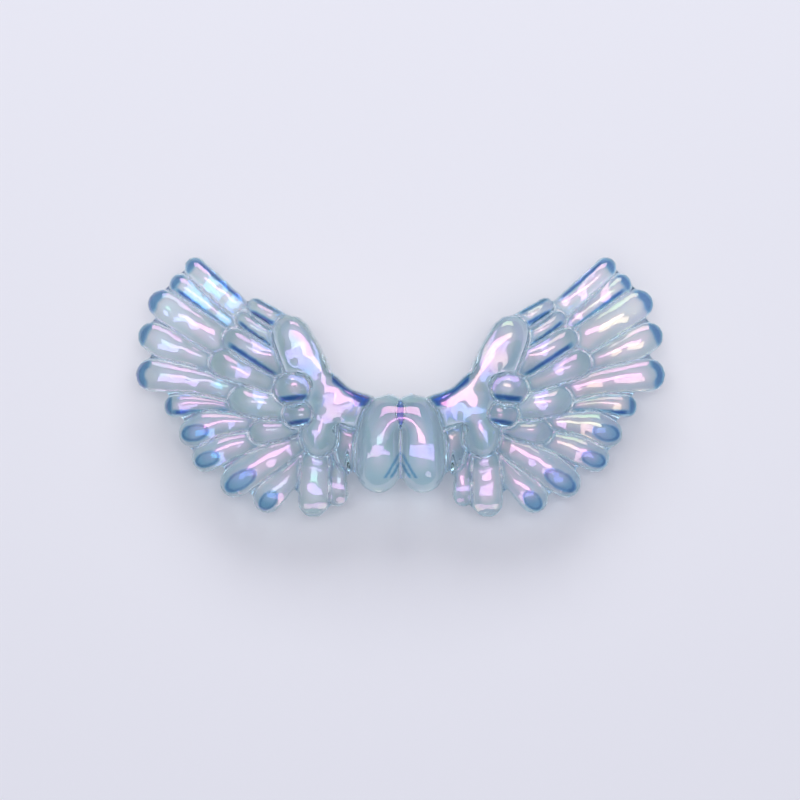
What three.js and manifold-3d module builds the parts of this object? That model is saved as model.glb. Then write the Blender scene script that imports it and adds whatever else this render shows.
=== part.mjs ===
// Angel-wing bead: two feathered wings with a heart between them, moulded in clear pale-blue acrylic.
// It lies on its back. +X runs along the span, +Y to the wing tips, and +Z away from the surface.
// The relief is divided along its grooves, and each raised cell is a mesh of its own.
import * as THREE from 'three';
import { mergeVertices } from 'three/addons/utils/BufferGeometryUtils.js';
import Module from 'manifold-3d';

const wasm = await Module();
wasm.setup();

// Driving dimensions, millimetres
const HEART_THICKNESS = 8.6;
const MID_PLANE = HEART_THICKNESS / 2;
const BORE_DIAMETER = 1.8;
const BORE_LENGTH = 4 * HEART_THICKNESS;
const GROOVE = 0.1;

// How far the front of each kind of cell rises above the middle plane, at its root and at its tip. The
// back is the same, but the heart and the wrists reach the surface, which cuts them flat.
const FRONT_RISE = {
  primary: [1.75, 1.45],
  covert: [2.3, 1.9],
  scapular: [2.9, 2.5],
  neck: [3.3, 3.3],
  shoulder: [3.9, 3.4],
  heart: [4.2, 4.45],
};
const BACK_DEPTH = {
  ...FRONT_RISE,
  shoulder: [5.0, 3.4],
  heart: [4.6, 4.7],
};

// Roundness of a section: 2 is an ellipse, and a larger number has steeper sides
const SECTION_POWER = 2.6;
const SECTION_SIDES = 12;
const BORE_SIDES = 16;
const OUTLINE_CEILING = 2 * HEART_THICKNESS;

const COLOURS = {
  primary: 0xbdd0ea,
  covert: 0xc4d5ec,
  scapular: 0xcfdcf0,
  neck: 0xb4c8e6,
  shoulder: 0xdce4f4,
  heart: 0xaec3e4,
};

// The cells of the right-hand half, from the highest in the relief to the lowest. Each runs along a
// smooth curve through the points of path, and width holds the half width at its root, middle and tip.
// The first word of a name says what kind of cell it is.
const CELLS = [
  { name: 'heart_lobe', path: [[0.0, -0.85], [1.8, -4.9], [2.1, -9.75]], width: [2.6, 2.3, 1.95] },
  { name: 'scapular_1', path: [[8.3, 0.0], [11.8, -0.3]], width: [1.2, 1.4, 1.3] },
  { name: 'scapular_2', path: [[8.1, -2.3], [10.9, -2.6]], width: [1.0, 1.2, 1.2] },
  { name: 'shoulder', path: [[10.9, 6.5], [8.8, 2.2], [7.0, -2.6]], width: [1.6, 2.05, 2.0] },
  { name: 'neck', path: [[8.2, 1.2], [5.6, -1.45], [1.6, -2.7]], width: [1.9, 1.75, 1.75] },
  { name: 'scapular_3', path: [[7.6, -2.0], [7.4, -6.4]], width: [1.7, 1.7, 1.6] },
  { name: 'covert_1', path: [[9.8, 5.3], [14.1, 7.95]], width: [0.8, 0.9, 0.7] },
  { name: 'covert_2', path: [[10.2, 3.9], [15.2, 6.7]], width: [0.9, 0.95, 0.7] },
  { name: 'covert_3', path: [[9.4, 1.0], [16.3, 5.0]], width: [0.9, 1.2, 1.0] },
  { name: 'covert_4', path: [[9.9, 0.2], [17.6, 2.6]], width: [1.1, 1.35, 1.2] },
  { name: 'covert_5', path: [[9.4, -1.9], [15.9, -1.0]], width: [1.2, 1.4, 1.2] },
  { name: 'covert_6', path: [[8.9, -3.1], [14.0, -4.4]], width: [1.1, 1.2, 1.0] },
  { name: 'primary_1', path: [[12.9, 5.6], [19.75, 11.75]], width: [0.9, 1.0, 1.0] },
  { name: 'primary_3', path: [[14.4, 2.8], [23.2, 8.45]], width: [1.2, 1.4, 1.4] },
  { name: 'primary_2', path: [[13.6, 4.6], [21.2, 10.15]], width: [1.1, 1.15, 1.0] },
  { name: 'primary_5', path: [[14.4, -0.9], [18.7, 0.6], [24.5, 1.3]], width: [0.8, 1.2, 1.75] },
  { name: 'primary_4', path: [[15.2, 0.8], [24.2, 5.3]], width: [1.3, 1.5, 1.3] },
  { name: 'primary_6', path: [[14.0, -1.8], [18.0, -1.3], [21.9, -1.95]], width: [0.8, 0.8, 1.25] },
  { name: 'primary_7', path: [[12.3, -2.7], [16.9, -3.1], [20.4, -4.9]], width: [1.1, 1.35, 1.25] },
  { name: 'primary_8', path: [[11.8, -4.2], [15.2, -5.2], [19.2, -7.1]], width: [0.9, 1.2, 1.4] },
  { name: 'primary_9', path: [[7.9, -3.6], [12.3, -6.5], [16.45, -9.65]], width: [1.3, 1.5, 1.4] },
  { name: 'primary_11', path: [[7.8, -5.4], [8.15, -12.0]], width: [1.1, 1.4, 1.4] },
  { name: 'primary_10', path: [[8.0, -5.2], [13.2, -11.3]], width: [1.1, 1.3, 1.4] },
  { name: 'primary_13', path: [[5.2, -2.8], [4.45, -7.8]], width: [1.1, 1.3, 0.95] },
  { name: 'primary_12', path: [[6.5, -4.8], [5.75, -11.0]], width: [1.1, 1.1, 1.0] },
];

// Where the sections of a cell stand: at an angle around each rounded end, and along the straight run
const ROOT_ANGLES = [25, 55, 90];
const RUN_SHARES = [1 / 4, 1 / 2, 3 / 4];
const TIP_ANGLES = [90, 65, 42, 20];

const radians = THREE.MathUtils.degToRad;

// A quadratic through the values at the root, the middle and the tip
function along([root, middle, tip], share) {
  const bulge = 4 * middle - 2 * root - 2 * tip;
  return THREE.MathUtils.lerp(root, tip, share) + bulge * share * (1 - share);
}

function kindOf({ name }) {
  return name.split('_')[0];
}

// The sections of a cell: where each stands, which way its side lies, and how far it reaches
function sections(cell) {
  const { path, width } = cell;
  const kind = kindOf(cell);
  const centreline = new THREE.SplineCurve(path.map(([x, y]) => new THREE.Vector2(x, y)));
  const length = centreline.getLength();
  const rootRadius = width[0];
  const tipRadius = width[2];
  const run = length - rootRadius - tipRadius;
  const fromEnd = (radius, angle) => radius * (1 - Math.cos(radians(angle)));
  const fullnessAt = (angle) => Math.sin(radians(angle));
  const stops = [
    ...ROOT_ANGLES.map((angle) => [fromEnd(rootRadius, angle), fullnessAt(angle)]),
    ...RUN_SHARES.map((share) => [rootRadius + run * share, 1]),
    ...TIP_ANGLES.map((angle) => [length - fromEnd(tipRadius, angle), fullnessAt(angle)]),
  ];
  const rings = stops.map(([distance, fullness]) => {
    const share = distance / length;
    const tangent = centreline.getTangentAt(share);
    return {
      centre: centreline.getPointAt(share),
      side: new THREE.Vector2(tangent.y, -tangent.x),
      halfWidth: along(width, share) * fullness,
      rise: THREE.MathUtils.lerp(...FRONT_RISE[kind], share) * fullness,
      depth: THREE.MathUtils.lerp(...BACK_DEPTH[kind], share) * fullness,
    };
  });
  return { rings, rootEnd: centreline.getPointAt(0), tipEnd: centreline.getPointAt(1) };
}

// The rounded body of a cell, cut flat at the surface that the bead lies on. A heart lobe is also cut
// flat at the middle of the bead.
function bodyGeometry(cell) {
  const { rings, rootEnd, tipEnd } = sections(cell);
  const inner = kindOf(cell) === 'heart' ? GROOVE / 2 : -Infinity;
  const positions = [];
  const indices = [];
  const put = (x, y, z) => positions.push(Math.max(x, inner), y, Math.max(z, 0));
  const rounded = (value) => Math.sign(value) * Math.abs(value) ** (2 / SECTION_POWER);

  put(rootEnd.x, rootEnd.y, MID_PLANE);
  for (const { centre, side, halfWidth, rise, depth } of rings) {
    for (let corner = 0; corner < SECTION_SIDES; corner += 1) {
      const angle = ((corner + 0.5) / SECTION_SIDES) * Math.PI * 2;
      const across = halfWidth * rounded(Math.cos(angle));
      const up = (angle < Math.PI ? rise : depth) * rounded(Math.sin(angle));
      put(centre.x + side.x * across, centre.y + side.y * across, MID_PLANE + up);
    }
  }
  put(tipEnd.x, tipEnd.y, MID_PLANE);

  const corner = (ring, index) => 1 + ring * SECTION_SIDES + (index % SECTION_SIDES);
  const last = rings.length - 1;
  const tip = 1 + rings.length * SECTION_SIDES;
  for (let index = 0; index < SECTION_SIDES; index += 1) {
    indices.push(0, corner(0, index), corner(0, index + 1));
    for (let ring = 0; ring < last; ring += 1) {
      indices.push(corner(ring, index), corner(ring + 1, index), corner(ring + 1, index + 1));
      indices.push(corner(ring, index), corner(ring + 1, index + 1), corner(ring, index + 1));
    }
    indices.push(tip, corner(last, index + 1), corner(last, index));
  }
  const geometry = new THREE.BufferGeometry();
  geometry.setAttribute('position', new THREE.Float32BufferAttribute(positions, 3));
  geometry.setIndex(indices);
  return geometry;
}

// The upright block over the outline of a cell, one groove wider than the cell all round
function outlineGeometry(cell) {
  const { rings, rootEnd, tipEnd } = sections(cell);
  const edge = (sign) => rings.map(({ centre, side, halfWidth }) => (
    centre.clone().addScaledVector(side, sign * (halfWidth + GROOVE))
  ));
  const beyond = (end, from) => end.clone().add(end.clone().sub(from).setLength(GROOVE));
  const outline = [
    beyond(rootEnd, rings[0].centre),
    ...edge(1),
    beyond(tipEnd, rings[rings.length - 1].centre),
    ...edge(-1).reverse(),
  ];
  const geometry = new THREE.ExtrudeGeometry(new THREE.Shape(outline), {
    depth: 2 * OUTLINE_CEILING,
    bevelEnabled: false,
  });
  geometry.translate(0, 0, -OUTLINE_CEILING);
  return geometry;
}

function toSolid(geometry) {
  const bare = geometry.clone();
  bare.deleteAttribute('normal');
  bare.deleteAttribute('uv');
  const merged = mergeVertices(bare);
  return new wasm.Manifold(new wasm.Mesh({
    numProp: 3,
    vertProperties: new Float32Array(merged.attributes.position.array),
    triVerts: new Uint32Array(merged.index.array),
  }));
}

function toGeometry(solid) {
  const { vertProperties, triVerts } = solid.getMesh();
  const geometry = new THREE.BufferGeometry();
  geometry.setAttribute('position', new THREE.BufferAttribute(vertProperties, 3));
  geometry.setIndex(new THREE.BufferAttribute(triVerts, 1));
  geometry.computeVertexNormals();
  return geometry;
}

// The largest piece of a solid, without the slivers that a cut leaves behind
function largest(solid) {
  const pieces = solid.decompose();
  return pieces.reduce((best, piece) => (piece.volume() > best.volume() ? piece : best));
}

// The mirror image across the middle of the bead, with its faces still pointing out
function mirrored(geometry) {
  const copy = geometry.clone();
  copy.scale(-1, 1, 1);
  const { array } = copy.index;
  for (let first = 0; first < array.length; first += 3) {
    [array[first + 1], array[first + 2]] = [array[first + 2], array[first + 1]];
  }
  copy.computeVertexNormals();
  return copy;
}

function acrylic(cell) {
  return new THREE.MeshStandardMaterial({ color: COLOURS[kindOf(cell)], roughness: 0.08, metalness: 0 });
}

// The threading hole runs along Y through the heart, half of it in each lobe
const boreRadius = BORE_DIAMETER / 2;
const boreGeometry = new THREE.CylinderGeometry(boreRadius, boreRadius, BORE_LENGTH, BORE_SIDES);
const bore = toSolid(boreGeometry.translate(0, 0, MID_PLANE));

const bead = new THREE.Group();
let higherOutlines = bore;
for (const cell of CELLS) {
  const solid = largest(toSolid(bodyGeometry(cell)).subtract(higherOutlines));
  higherOutlines = higherOutlines.add(toSolid(outlineGeometry(cell)));
  const geometry = toGeometry(solid);
  const right = new THREE.Mesh(geometry, acrylic(cell));
  right.name = `right_${cell.name}`;
  const left = new THREE.Mesh(mirrored(geometry), acrylic(cell));
  left.name = `left_${cell.name}`;
  bead.add(right, left);
}

export default bead;
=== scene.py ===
"""Looks of the angel-wing bead: clear pale-blue acrylic with an iridescent coating, on a pale table.

The relief is worked out from the CAD nodes. Their plans are drawn on a fine grid, every cell is puffed
up inside its own outline like a soap film, and both faces are joined into one clear skin, because the
real bead is one moulding. Lengths are millimetres until they reach Blender.
"""

import bpy
import numpy as np
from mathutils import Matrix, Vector


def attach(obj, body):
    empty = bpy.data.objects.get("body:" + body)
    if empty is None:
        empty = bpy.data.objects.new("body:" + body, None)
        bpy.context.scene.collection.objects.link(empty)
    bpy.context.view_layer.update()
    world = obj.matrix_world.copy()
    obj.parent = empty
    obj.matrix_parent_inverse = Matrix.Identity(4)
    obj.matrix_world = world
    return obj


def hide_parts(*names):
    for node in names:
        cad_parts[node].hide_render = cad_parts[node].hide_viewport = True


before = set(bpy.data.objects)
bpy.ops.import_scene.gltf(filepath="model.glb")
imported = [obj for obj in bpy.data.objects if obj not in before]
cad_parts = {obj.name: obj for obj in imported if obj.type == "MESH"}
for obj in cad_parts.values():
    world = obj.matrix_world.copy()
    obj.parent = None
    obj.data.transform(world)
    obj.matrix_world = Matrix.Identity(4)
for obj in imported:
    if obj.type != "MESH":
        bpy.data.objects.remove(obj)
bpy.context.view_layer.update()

MM = 0.001
# Height of the plane that parts the bead's front from its back
MID_PLANE = 4.3

# The camera stands straight above the bead, which lies a little above the middle of the picture
CAMERA_LENS = 100.0
CAMERA_SENSOR = 36.0
PICTURE_WIDTH = 74.2
PICTURE_CENTRE = (-0.05, -1.16)


def make_camera():
    data = bpy.data.cameras.new("camera")
    data.lens = CAMERA_LENS
    data.sensor_width = CAMERA_SENSOR
    camera = bpy.data.objects.new("camera", data)
    distance = PICTURE_WIDTH * CAMERA_LENS / CAMERA_SENSOR
    camera.location = Vector((*PICTURE_CENTRE, MID_PLANE + distance)) * MM
    data.clip_start = 0.01
    data.clip_end = 10.0
    bpy.context.collection.objects.link(camera)
    bpy.context.scene.camera = camera


make_camera()
bpy.context.scene.view_settings.view_transform = "Standard"

# The grid that the plan is drawn on, with a column on the bead's middle
STEP = 0.08
HALF_COLUMNS = 315
HALF_ROWS = 158
GRID_X = (np.arange(-HALF_COLUMNS, HALF_COLUMNS + 1) * STEP)[None, :]
GRID_Y = (np.arange(-HALF_ROWS, HALF_ROWS + 1) * STEP)[:, None]

# Share of the height that is left in the grooves, in the front and in the back
GROOVE_SHARES = (0.4, 0.62)
# Heights of the film puffed over the plan, which grows inwards from every outline: the height at which
# the bead's edge has mostly rounded off
RIM_LENGTH = 1.1
# the height up to which each kind of cell keeps rising, and how much it falls off towards its ends
CROWN_LENGTH = {"primary": 4.0, "covert": 4.0, "scapular": 4.0, "arm": 0.7, "heart": 4.0}
ARCH = {"primary": 0.25, "covert": 0.3, "scapular": 0.2, "arm": 0.0, "heart": 0.3}
# the height at which the steep side of a groove ends, and that side's share of the cell's height
EDGE_LENGTH = 0.3
EDGE_SHARE = 0.2
# Over what distance the height of one cell passes into the height of the next
LEVEL_BLUR = 0.8
# The point of the right wing that its feathers spread out from
WING_ROOT = (8.0, -1.5)

# Length in millimetres and heading in radians of the waves that make up the surface's waviness
WAVES = [(2.3, 0.4), (2.9, 1.7), (1.7, 2.5), (3.7, 0.9), (2.1, 2.1)]
WAVE_HEIGHT = 0.05

# Gaps inside a cell and steep notches in the bead's outline are filled in up to twice these widths, and
# the slit between the heart's lobes stays open below its top
SEAM_REACH = 0.3
NOTCH_REACH = 0.45
HEART_SLIT_TOP = -3.6

# The skin's mesh, and the threading hole in it
SKIN_VOXEL = 0.088
SKIN_SMOOTHING = 1
BORE_RADIUS = 0.5
BORE_LENGTH = 34.4
BORE_SIDES = 48

# Painted blue shade, which stands in for the deep blue that the bead's refraction shows: along every
# edge, round the tips of the long feathers, along one side of some ridges, in drops at the lower tips,
# and along the neck
PAINTED_RIM_SHADE = 0.27
PAINTED_SHADE_BLUR = 0.06
TIP_CRESCENTS = {"primary_1", "primary_2", "primary_3", "primary_4", "primary_5", "primary_6"}
LOWER_STREAKS = {"scapular_1", "scapular_2", "primary_2", "covert_1", "covert_2", "covert_3", "primary_6"}
UPPER_STREAKS = {"primary_1", "covert_1"}
TIP_DROPS = {"primary_7", "primary_8", "primary_9", "primary_10"}
NECK_HALF_LENGTH = 6.3
NECK_BOTTOM = -1.7

# Painted blue shade lines that spread downwards from the slit between the heart's lobes
SHADE_LINE_TOPS = (-5.9, -6.8)
SHADE_LINE_END = -8.3
SHADE_LINE_SLOPE = 0.6
SHADE_LINE_HALF_WIDTH = 0.13
SHADE_LINE_BLUE = 0.7

# Width over which a painted highlight line in a groove fades
PAINTED_GLINT_BLUR = 0.05

# Linear colours of the painted blue shade on the acrylic's surface: clear, half blue and wholly blue
CLEAR = (1.0, 1.0, 1.0, 1.0)
HALF_BLUE = (0.20, 0.50, 0.80, 1.0)
DEEP_BLUE = (0.01, 0.06, 0.38, 1.0)
# Size of the patches in which the painted highlight lines of the grooves come and go, and how faint they
# get
PAINTED_GLINT_PATCH_SCALE = 700.0
FAINTEST_PAINTED_GLINT = 0.1

# Thickness in nanometres of the coating at the two wings, and how far it wanders to either side
COATING_LEFT = 490.0
COATING_RIGHT = 438.0
COATING_SPREAD = 35.0
COATING_PATCH_SCALE = 220.0
COATED_HALF_SPAN = 0.02

TABLE_HALF_WIDTH = 1.2
TABLE_COLOUR = (0.87, 0.86, 0.90, 1.0)


def cell_of(node):
    """The cell of the relief that a CAD node belongs to. The shoulder, the neck and the lowest scale run
    into each other without a groove, and so do the heart's lobes at its top."""
    side, name = node.split("_", 1)
    if name in ("shoulder", "neck", "scapular_3"):
        return f"{side}_arm"
    if name == "heart_lobe":
        return "heart"
    return node


def kind_of(cell):
    return next(kind for kind in CROWN_LENGTH if kind in cell)


def draw_plan():
    """The cells' names, and for each grid point the number of the cell that covers it and how high the
    CAD rises there."""
    cells = sorted({cell_of(node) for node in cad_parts})
    labels = np.full((2 * HALF_ROWS + 1, 2 * HALF_COLUMNS + 1), -1)
    heights = np.zeros(labels.shape)
    for node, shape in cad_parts.items():
        number = cells.index(cell_of(node))
        mesh = shape.data
        mesh.calc_loop_triangles()
        corners = np.array([v.co for v in mesh.vertices]) / MM
        for triangle in mesh.loop_triangles:
            if triangle.normal.z > 1e-3:
                draw_triangle(labels, heights, corners[list(triangle.vertices)], number)
    slit = (np.abs(GRID_X) < STEP) & (GRID_Y < HEART_SLIT_TOP)
    for number in range(len(cells)):
        joined = closed(labels == number, SEAM_REACH)
        labels[joined & (labels < 0) & ~slit] = number
    return cells, labels, heights


def draw_triangle(labels, heights, corners, number):
    """Label the grid points under one triangle, and raise them to it where they are lower."""
    low = np.floor(corners.min(0)[:2] / STEP).astype(int)
    high = np.ceil(corners.max(0)[:2] / STEP).astype(int)
    rows = slice(low[1] + HALF_ROWS, high[1] + HALF_ROWS + 1)
    columns = slice(low[0] + HALF_COLUMNS, high[0] + HALF_COLUMNS + 1)
    x, y = GRID_X[:, columns], GRID_Y[rows]
    (ax, ay, az), (bx, by, bz), (cx, cy, cz) = corners
    area = (by - cy) * (ax - cx) + (cx - bx) * (ay - cy)
    if abs(area) < 1e-9:
        return
    a = ((by - cy) * (x - cx) + (cx - bx) * (y - cy)) / area
    b = ((cy - ay) * (x - cx) + (ax - cx) * (y - cy)) / area
    c = 1 - a - b
    inside = (a >= -1e-6) & (b >= -1e-6) & (c >= -1e-6)
    height = a * az + b * bz + c * cz - MID_PLANE
    seen = inside & (height > heights[rows, columns])
    heights[rows, columns][seen] = height[seen]
    labels[rows, columns][inside] = number


def neighbours(field):
    """The field as seen by each point's neighbour on either side, along both axes."""
    return np.roll(field, 1, 0), np.roll(field, -1, 0), np.roll(field, 1, 1), np.roll(field, -1, 1)


def puffed(labels, rounds=260):
    """Height of a film puffed up over every cell, which is zero on its outline and as round as it is
    wide. It solves Poisson's equation by over-relaxation on a chequerboard."""
    inside = labels >= 0
    open_to = [inside & (labels == other) for other in neighbours(labels)]
    film = np.zeros(labels.shape)
    rows, columns = np.indices(labels.shape)
    boards = [inside & ((rows + columns) % 2 == parity) for parity in (0, 1)]
    relaxation = 1.9
    for _ in range(rounds):
        for board in boards:
            around = sum(np.where(gate, side, 0) for gate, side in zip(open_to, neighbours(film)))
            film[board] += relaxation * ((around[board] + STEP**2) / 4 - film[board])
    return np.sqrt(np.maximum(2 * film, 0))


def blurred(field, reach):
    """The field after a Gaussian blur of that reach in millimetres."""
    taps = int(3 * reach / STEP)
    weights = np.exp(-0.5 * (np.arange(-taps, taps + 1) * STEP / reach) ** 2)
    weights /= weights.sum()
    for axis in (0, 1):
        field = sum(w * np.roll(field, shift, axis) for w, shift in zip(weights, range(-taps, taps + 1)))
    return field


def widened(field, reach):
    """The field with every point raised to the highest one within reach."""
    for _ in range(int(reach / STEP)):
        field = np.maximum(field, np.maximum.reduce(neighbours(field)))
    return field


def closed(mask, reach):
    """The mask with its gaps and steep notches filled that are narrower than twice the reach. Notches
    whose sides slope by less than 45 degrees stay."""
    return 1 - widened(1 - widened(mask.astype(float), reach), reach) > 0.5


def own_axes(there):
    """Where each grid point of a cell lies along it, from -1 at its root to 1 at its tip, and across it,
    from -1 at its lower side to 1 at its upper side."""
    rows, columns = np.nonzero(there)
    places = np.column_stack([GRID_X[0][columns], GRID_Y[:, 0][rows]])
    middle = places.mean(0)
    longest = np.linalg.eigh(np.cov((places - middle).T))[1][:, -1]
    outward = middle - np.array([np.sign(middle[0]) * WING_ROOT[0], WING_ROOT[1]])
    longest = longest * np.sign(longest @ outward)
    sideways = np.array([-longest[1], longest[0]]) * np.sign(longest[0])
    shares = [(places - middle) @ direction for direction in (longest, sideways)]
    return [np.where(share > 0, share / share.max(), -share / share.min()) for share in shares]


def between(value, low, high, soft):
    """1 where the value is between two limits, fading to 0 over the soft width outside them."""
    return np.clip(np.minimum(value - low, high - value) / soft + 1, 0, 1)


def painted_shade_share(name, along, across, film):
    """How much painted deep-blue shade shows at each point of a cell, along its edges and in the marks
    listed for it.
    """
    blue = PAINTED_RIM_SHADE * between(film, 0.0, 0.45, 0.15)
    if name in TIP_CRESCENTS:
        blue = np.maximum(blue, 0.8 * between(along, 0.76, 1, 0.1) * between(film, 0.45, 1.05, 0.1))
    if name in LOWER_STREAKS:
        blue = np.maximum(blue, between(across, -0.78, -0.46, 0.08) * between(along, -0.75, 0.55, 0.25))
    if name in UPPER_STREAKS:
        blue = np.maximum(blue, between(across, 0.55, 0.82, 0.08) * between(along, -0.6, 0.7, 0.3))
    if name in TIP_DROPS:
        ring = np.hypot((along - 0.5) / 0.4, (across + 0.15) / 0.52)
        blue = np.maximum(blue, 0.85 * between(ring, 0.8, 0.98, 0.12))
        blue = np.maximum(blue, 0.5 * between(ring, 0, 0.8, 0.1))
    return blue


def wobble():
    """The soft waviness of a moulded surface, from -1 to 1."""
    waves = np.zeros((GRID_Y.size, GRID_X.size))
    for number, (length, turn) in enumerate(WAVES):
        along = GRID_X * np.cos(turn) + GRID_Y * np.sin(turn)
        waves += np.sin(2 * np.pi * along / length + number)
    return waves / len(WAVES)


def levels(cells, labels, heights):
    """The greatest height of the CAD in each cell, passing softly from one cell into the next."""
    level = np.zeros(labels.shape)
    for number in range(len(cells)):
        level[labels == number] = heights[labels == number].max()
    weight = np.maximum(blurred((level > 0) * 1.0, LEVEL_BLUR), 1e-6)
    return blurred(level, LEVEL_BLUR) / weight


def crown_of(cell, along, film):
    """How far each point of a cell rises, as a share of the cell's height."""
    length = CROWN_LENGTH[kind_of(cell)]
    edge = np.tanh(film / EDGE_LENGTH)
    dome = np.tanh(film / length) / np.tanh(film.max() / length)
    profile = EDGE_SHARE * edge + (1 - EDGE_SHARE) * dome
    return profile * (1 - ARCH[kind_of(cell)] * along**2)


def add_painted_neck_and_heart_shade(blue, film, heart):
    """Paint deep-blue shade on the upper edge of the neck and in lines in the heart as well."""
    neck = (np.abs(GRID_X) < NECK_HALF_LENGTH) & (GRID_Y > NECK_BOTTOM) & ~heart
    blue[neck] = np.maximum(blue, between(film, 0.4, 1.3, 0.15))[neck]
    for top in SHADE_LINE_TOPS:
        shade_line = np.abs(np.abs(GRID_X) - SHADE_LINE_SLOPE * (top - GRID_Y)) < SHADE_LINE_HALF_WIDTH
        blue[shade_line & (GRID_Y < top) & (GRID_Y > SHADE_LINE_END)] = SHADE_LINE_BLUE


def relief():
    """Where the bead is, how far its front and its back lie from the middle plane there, how much painted
    blue shade its front gets and where painted highlight lines brighten its grooves."""
    cells, labels, heights = draw_plan()
    covered = labels >= 0
    whole = closed(covered, NOTCH_REACH)
    envelope = levels(cells, labels, heights)
    rim = np.tanh(puffed(np.where(whole, 0, -1)) / RIM_LENGTH)
    film = puffed(labels)
    crown = np.zeros(labels.shape)
    blue = np.full(labels.shape, PAINTED_RIM_SHADE)
    for number, cell in enumerate(cells):
        there = labels == number
        along, across = own_axes(there)
        blue[there] = painted_shade_share(cell.split("_", 1)[-1], along, across, film[there])
        crown[there] = crown_of(cell, along, film[there])
    add_painted_neck_and_heart_shade(blue, film, labels == cells.index("heart"))
    waves = WAVE_HEIGHT * wobble() * crown
    rise, depth = (envelope * (share * rim + (1 - share) * crown) + waves for share in GROOVE_SHARES)
    edges = np.logical_or.reduce([other != labels for other in neighbours(labels)])
    return whole, rise, depth, blurred(blue, PAINTED_SHADE_BLUR), blurred((covered & edges) * 1.0, PAINTED_GLINT_BLUR)


def squares(numbers, solid, turned):
    """The grid's squares as faces, where the bead is and all four corners have a vertex number."""
    a, b = numbers[:-1, :-1], numbers[:-1, 1:]
    c, d = numbers[1:, 1:], numbers[1:, :-1]
    full = (a >= 0) & (b >= 0) & (c >= 0) & (d >= 0) & solid
    order = (a, d, c, b) if turned else (a, b, c, d)
    return np.column_stack([corner[full] for corner in order])


def evaluate(piece):
    """Replace the piece's mesh by what its modifiers make of it."""
    graph = bpy.context.evaluated_depsgraph_get()
    piece.data = bpy.data.meshes.new_from_object(piece.evaluated_get(graph))
    piece.modifiers.clear()


def skin(name, whole, rise, depth):
    """A closed mesh with the relief on its front and its back, whose lowest places lie on the table."""
    edge = widened(whole.astype(float), STEP) > 0.5
    used = np.argwhere(edge)
    inner = whole[edge]
    front = np.full(whole.shape, -1)
    front[edge] = np.arange(len(used))
    back = front.copy()
    back[whole] = len(used) + np.arange(whole.sum())
    x, y = GRID_X[0][used[:, 1]], GRID_Y[:, 0][used[:, 0]]
    top = np.column_stack([x, y, MID_PLANE + rise[edge] * inner])
    bottom = np.column_stack([x[inner], y[inner], MID_PLANE - np.minimum(depth[whole], MID_PLANE)])
    vertices = np.vstack([top, bottom]) * MM
    solid = whole[:-1, :-1] | whole[:-1, 1:] | whole[1:, 1:] | whole[1:, :-1]
    faces = np.vstack([squares(front, solid, False), squares(back, solid, True)])

    mesh = bpy.data.meshes.new(name)
    mesh.from_pydata(vertices.tolist(), [], faces.tolist())
    piece = bpy.data.objects.new(name, mesh)
    bpy.context.collection.objects.link(piece)
    remesh = piece.modifiers.new("melt", "REMESH")
    remesh.mode = "VOXEL"
    remesh.voxel_size = SKIN_VOXEL * MM
    remesh.use_smooth_shade = True
    smooth = piece.modifiers.new("polish", "SMOOTH")
    smooth.factor = 0.5
    smooth.iterations = SKIN_SMOOTHING
    evaluate(piece)
    return piece


def mark(piece, **fields):
    """Store each field of the plan on the skin's front under its name, and mark the whole skin, which
    the threading hole's wall is not part of, as coated."""
    places = np.empty(3 * len(piece.data.vertices))
    piece.data.vertices.foreach_get("co", places)
    columns, rows = np.rint(places.reshape(-1, 3)[:, :2].T / MM / STEP).astype(int)
    in_front = places[2::3] > MID_PLANE * MM
    for name, field in fields.items():
        shares = piece.data.attributes.new(name, "FLOAT", "POINT")
        shares.data.foreach_set("value", field[rows + HALF_ROWS, columns + HALF_COLUMNS] * in_front)
    coated = piece.data.attributes.new("coated", "FLOAT", "POINT")
    coated.data.foreach_set("value", np.ones(len(piece.data.vertices)))


def drill_thread_hole(piece):
    """Cut the hole for the thread, which runs along Y through the heart."""
    bpy.ops.mesh.primitive_cylinder_add(
        vertices=BORE_SIDES,
        radius=BORE_RADIUS * MM,
        depth=BORE_LENGTH * MM,
        location=(0, 0, MID_PLANE * MM),
        rotation=(np.pi / 2, 0, 0),
    )
    drill = bpy.context.active_object
    cut = piece.modifiers.new("thread_hole", "BOOLEAN")
    cut.operation = "DIFFERENCE"
    cut.solver = "MANIFOLD"
    cut.object = drill
    evaluate(piece)
    piece.data.materials.clear()
    bpy.data.objects.remove(drill)


def attribute(nodes, name):
    node = nodes.new("ShaderNodeAttribute")
    node.attribute_name = name
    return node.outputs["Fac"]


def maths(nodes, links, operation, first, second):
    """A maths node on a number or socket and a socket."""
    node = nodes.new("ShaderNodeMath")
    node.operation = operation
    for slot, value in zip(node.inputs, (first, second)):
        if isinstance(value, float):
            slot.default_value = value
        else:
            links.new(value, slot)
    return node.outputs["Value"]


def noise(nodes, links, place, scale, detail):
    node = nodes.new("ShaderNodeTexNoise")
    node.inputs["Scale"].default_value = scale
    node.inputs["Detail"].default_value = detail
    links.new(place, node.inputs["Vector"])
    return node.outputs["Fac"]


def stretched(nodes, links, value, low, high, to_low, to_high):
    """The value with its range from low to high mapped onto the range from to_low to to_high."""
    node = nodes.new("ShaderNodeMapRange")
    node.inputs["From Min"].default_value = low
    node.inputs["From Max"].default_value = high
    node.inputs["To Min"].default_value = to_low
    node.inputs["To Max"].default_value = to_high
    links.new(value, node.inputs["Value"])
    return node.outputs["Result"]


def clear_share(nodes, links, place):
    """1 all over the surface, and less in the grooves, where painted highlight lines come and go."""
    patches = noise(nodes, links, place, PAINTED_GLINT_PATCH_SCALE, 1.0)
    strength = stretched(nodes, links, patches, 0.35, 0.5, FAINTEST_PAINTED_GLINT, 1.0)
    glints = maths(nodes, links, "MULTIPLY", attribute(nodes, "glint"), strength)
    return maths(nodes, links, "SUBTRACT", 1.0, glints)


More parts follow.
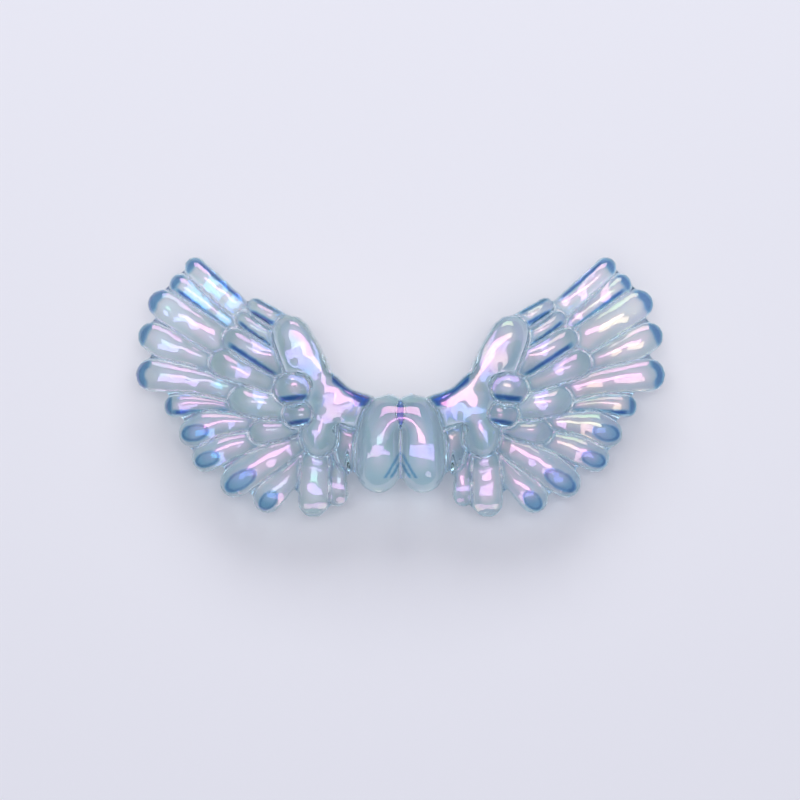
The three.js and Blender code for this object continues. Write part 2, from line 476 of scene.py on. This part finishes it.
def painted_blue_shade(nodes, links, clear):
    """Painted blue shade, from clear through light blue to the deep blue of the edges. The painted
    highlight lines stay free of it.
    """
    colour = nodes.new("ShaderNodeValToRGB")
    first, last = colour.color_ramp.elements
    first.position, first.color = 0.0, CLEAR
    last.position, last.color = 1.0, DEEP_BLUE
    middle = colour.color_ramp.elements.new(0.5)
    middle.color = HALF_BLUE
    share = maths(nodes, links, "MULTIPLY", attribute(nodes, "blue"), clear)
    links.new(share, colour.inputs["Fac"])
    return colour.outputs["Color"]


def coating_thickness(nodes, links, place):
    """The coating drifts in thickness from wing to wing, and wanders a little in patches."""
    sides = nodes.new("ShaderNodeSeparateXYZ")
    links.new(place, sides.inputs["Vector"])
    patches = noise(nodes, links, place, COATING_PATCH_SCALE, 2.0)
    wander = stretched(nodes, links, patches, 0.3, 0.7, -COATING_SPREAD, COATING_SPREAD)
    drift = stretched(
        nodes, links, sides.outputs["X"],
        -COATED_HALF_SPAN, COATED_HALF_SPAN, COATING_LEFT, COATING_RIGHT,
    )
    film = maths(nodes, links, "ADD", wander, drift)
    return maths(nodes, links, "MULTIPLY", film, attribute(nodes, "coated"))


def acrylic():
    """Clear acrylic that absorbs red, under a thin coating that glints pink and mint."""
    material = bpy.data.materials.new("iridescent_acrylic")
    material.use_nodes = True
    nodes, links = material.node_tree.nodes, material.node_tree.links
    place = nodes.new("ShaderNodeTexCoord").outputs["Object"]
    shader = nodes["Principled BSDF"]
    shader.inputs["Roughness"].default_value = 0.02
    shader.inputs["IOR"].default_value = 1.49
    shader.inputs["Thin Film IOR"].default_value = 1.72
    clear = clear_share(nodes, links, place)
    # Painted highlight lines in the grooves lower the transmission and show pale, and painted blue shade
    # tints the base colour
    links.new(clear, shader.inputs["Transmission Weight"])
    links.new(painted_blue_shade(nodes, links, clear), shader.inputs["Base Color"])
    links.new(coating_thickness(nodes, links, place), shader.inputs["Thin Film Thickness"])
    absorption = nodes.new("ShaderNodeVolumeAbsorption")
    absorption.inputs["Color"].default_value = (0.0, 0.72, 1.0, 1.0)
    absorption.inputs["Density"].default_value = 21.5
    links.new(absorption.outputs["Volume"], nodes["Material Output"].inputs["Volume"])
    return material


def table():
    """A plain pale table under the bead."""
    half = TABLE_HALF_WIDTH
    corners = [(-half, -half, 0), (half, -half, 0), (half, half, 0), (-half, half, 0)]
    mesh = bpy.data.meshes.new("table")
    mesh.from_pydata(corners, [], [(0, 1, 2, 3)])
    top = bpy.data.objects.new("table", mesh)
    bpy.context.collection.objects.link(top)
    material = bpy.data.materials.new("table")
    material.use_nodes = True
    shader = material.node_tree.nodes["Principled BSDF"]
    shader.inputs["Base Color"].default_value = TABLE_COLOUR
    shader.inputs["Roughness"].default_value = 0.9
    top.data.materials.append(material)


def lamp(name, place, size, power):
    """A rectangular lamp of that width and height in metres and power in watts, facing the bead."""
    data = bpy.data.lights.new(name, "AREA")
    data.shape = "RECTANGLE"
    data.size, data.size_y = size
    data.energy = power
    lit = bpy.data.objects.new(name, data)
    lit.location = place
    lit.rotation_mode = "QUATERNION"
    lit.rotation_quaternion = (-Vector(place)).to_track_quat("-Z", "Y")
    bpy.context.collection.objects.link(lit)


def room():
    """Soft light from all round, bright above and dark blue towards the horizon."""
    world = bpy.data.worlds.new("room")
    world.use_nodes = True
    nodes, links = world.node_tree.nodes, world.node_tree.links
    split = nodes.new("ShaderNodeSeparateXYZ")
    place = nodes.new("ShaderNodeTexCoord")
    links.new(place.outputs["Generated"], split.inputs["Vector"])
    sky = nodes.new("ShaderNodeValToRGB")
    links.new(split.outputs["Z"], sky.inputs["Fac"])
    low, high = sky.color_ramp.elements
    low.position, low.color = 0.0, (0.01, 0.02, 0.08, 1)
    high.position, high.color = 1.0, (1.0, 0.97, 0.93, 1)
    walls = sky.color_ramp.elements.new(0.6)
    walls.color = (0.03, 0.075, 0.18, 1)
    ceiling = sky.color_ramp.elements.new(0.8)
    ceiling.color = (0.28, 0.27, 0.30, 1)
    background = nodes["Background"]
    links.new(sky.outputs["Color"], background.inputs["Color"])
    background.inputs["Strength"].default_value = 1.44
    bpy.context.scene.world = world


whole, rise, depth, blue, glint = relief()
bead = skin("bead", whole, rise, depth)
# The painted blue shade and the painted highlight lines of the grooves are stored on the skin's front
mark(bead, blue=blue, glint=glint)
drill_thread_hole(bead)
bead.data.materials.append(acrylic())
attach(bead, "root")
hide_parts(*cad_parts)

table()
lamp("softbox", (0.0, 0.07, 0.6), (0.34, 0.13), 0.75)
lamp("window", (0.0, 0.5, 0.35), (0.5, 0.3), 2.0)
room()
